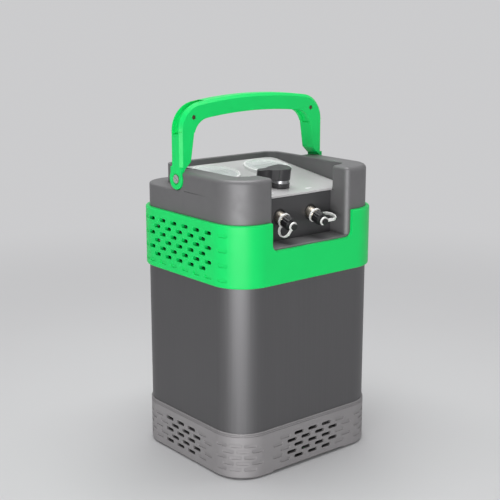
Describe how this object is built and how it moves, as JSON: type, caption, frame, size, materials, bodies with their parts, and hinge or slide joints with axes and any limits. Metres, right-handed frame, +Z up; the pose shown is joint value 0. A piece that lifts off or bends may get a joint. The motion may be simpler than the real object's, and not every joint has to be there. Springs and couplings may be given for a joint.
{
  "type": "refrigerant recovery machine",
  "caption": "Portable refrigerant recovery machine: rounded upright body with grille band and base, folding carry handle, sloped gauge panel with selector knob, capped flare ports in front.",
  "frame": {"origin": "centre of the footprint, on the floor under the rubber feet", "axes": "+Z up, -Y is the front with the service ports, +X to the right when facing that front"},
  "size_m": [0.2664, 0.2384, 0.507],
  "materials": {
    "green_plastic": "satin",
    "sleeve_paint": "satin metallic",
    "base_plastic": "matte",
    "top_plastic": "satin",
    "panel_film": "satin",
    "black_rubber": "matte",
    "black_plastic": "satin",
    "steel": "satin",
    "bezel_chrome": "polished",
    "gauge_white": "satin",
    "display_grey": "gloss",
    "lens_glass": "clear",
    "fitting_brass": "nickel washed",
    "strap_plastic": "satin",
    "switch_red": "gloss",
    "cast_aluminium": "cast",
    "motor_paint": "satin",
    "copper": "bare copper",
    "board": "solder mask"
  },
  "bodies": {
    "machine": {"base_tray": "base_plastic", "rubber_feet": "black_rubber", "foot_screws": "steel", "sleeve": "sleeve_paint", "grille_band": "green_plastic", "top_housing": "top_plastic", "control_panel": "panel_film", "port_plate": "top_plastic", "pivot_screws": "steel", "gauge_case_left": "black_plastic", "gauge_case_right": "black_plastic", "gauge_bezel_left": "bezel_chrome", "gauge_bezel_right": "bezel_chrome", "gauge_face_left": "gauge_white", "gauge_face_right": "gauge_white", "gauge_display_left": "display_grey", "gauge_display_right": "display_grey", "gauge_lens_left": "lens_glass", "gauge_lens_right": "lens_glass", "valve_bonnet": "fitting_brass", "manifold_block": "cast_aluminium", "inlet_fitting": "fitting_brass", "outlet_fitting": "fitting_brass", "inlet_strap": "strap_plastic", "outlet_strap": "strap_plastic", "power_inlet": "black_plastic", "inlet_pins": "steel", "switch_frame": "black_plastic", "tie_rods": "steel", "isolators": "black_rubber", "chassis_plate": "steel", "crankcase": "cast_aluminium", "cylinder_barrel": "cast_aluminium", "cylinder_head": "cast_aluminium", "motor_can": "motor_paint", "stator": "copper", "motor_end_cap": "cast_aluminium", "bearings": "steel", "fan_shroud": "black_plastic", "fan_motor": "steel", "condenser": "cast_aluminium", "control_board": "board", "suction_pipe": "copper", "discharge_pipe": "copper", "return_pipe": "copper", "port_grommets": "black_rubber"},
    "handle": {"handle_front": "green_plastic", "handle_rear": "green_plastic", "handle_screws": "steel", "pivot_bushes": "steel"},
    "selector": {"selector_knob": "black_plastic", "knob_ring": "steel", "valve_stem": "steel"},
    "inlet_cap_slider": {"inlet_strap_ring": "strap_plastic"},
    "inlet_cap_screw": {"inlet_cap": "black_plastic"},
    "outlet_cap_slider": {"outlet_strap_ring": "strap_plastic"},
    "outlet_cap_screw": {"outlet_cap": "black_plastic"},
    "switch_rocker": {"rocker": "switch_red"},
    "motor_rotor": {"motor_shaft": "steel"},
    "fan_rotor": {"fan": "black_plastic"}
  },
  "joints": [
    {"name": "handle_fold", "type": "hinge", "parent": "machine", "child": "handle", "pos_m": [0, 0.0175, 0.3986], "axis": [1, 0, 0], "range_deg": [-90, 0]},
    {"name": "knob_turn", "type": "hinge", "parent": "machine", "child": "selector", "pos_m": [0, -0.047, 0.38311], "axis": [0, -0.1392, 0.9903], "range_deg": [-120, 60]},
    {"name": "inlet_cap_travel", "type": "slide", "parent": "machine", "child": "inlet_cap_slider", "axis": [0, -0.9563, -0.2924], "range_m": [0, 0.00508], "deforming": ["inlet_strap"]},
    {"name": "inlet_cap_turn", "type": "hinge", "parent": "inlet_cap_slider", "child": "inlet_cap_screw", "pos_m": [-0.028, -0.0805, 0.349], "axis": [0, -0.9563, -0.2924], "range_deg": [0, 1440]},
    {"name": "outlet_cap_travel", "type": "slide", "parent": "machine", "child": "outlet_cap_slider", "axis": [0, -0.9563, -0.2924], "range_m": [0, 0.00508], "deforming": ["outlet_strap"]},
    {"name": "outlet_cap_turn", "type": "hinge", "parent": "outlet_cap_slider", "child": "outlet_cap_screw", "pos_m": [0.028, -0.0805, 0.349], "axis": [0, -0.9563, -0.2924], "range_deg": [0, 1440]},
    {"name": "rocker_tilt", "type": "hinge", "parent": "machine", "child": "switch_rocker", "pos_m": [-0.03, 0.1088, 0.22], "axis": [1, 0, 0], "range_deg": [0, 18]},
    {"name": "motor_spin", "type": "hinge", "parent": "machine", "child": "motor_rotor", "pos_m": [0, 0.01, 0.092], "axis": [1, 0, 0], "continuous": true},
    {"name": "fan_spin", "type": "hinge", "parent": "machine", "child": "fan_rotor", "pos_m": [-0.0868, 0, 0.286], "axis": [1, 0, 0], "continuous": true}
  ],
  "couplings": [
    {"joint": "inlet_cap_turn", "follows": "inlet_cap_travel", "rad_per_m": 4947.4},
    {"joint": "outlet_cap_turn", "follows": "outlet_cap_travel", "rad_per_m": 4947.4}
  ]
}
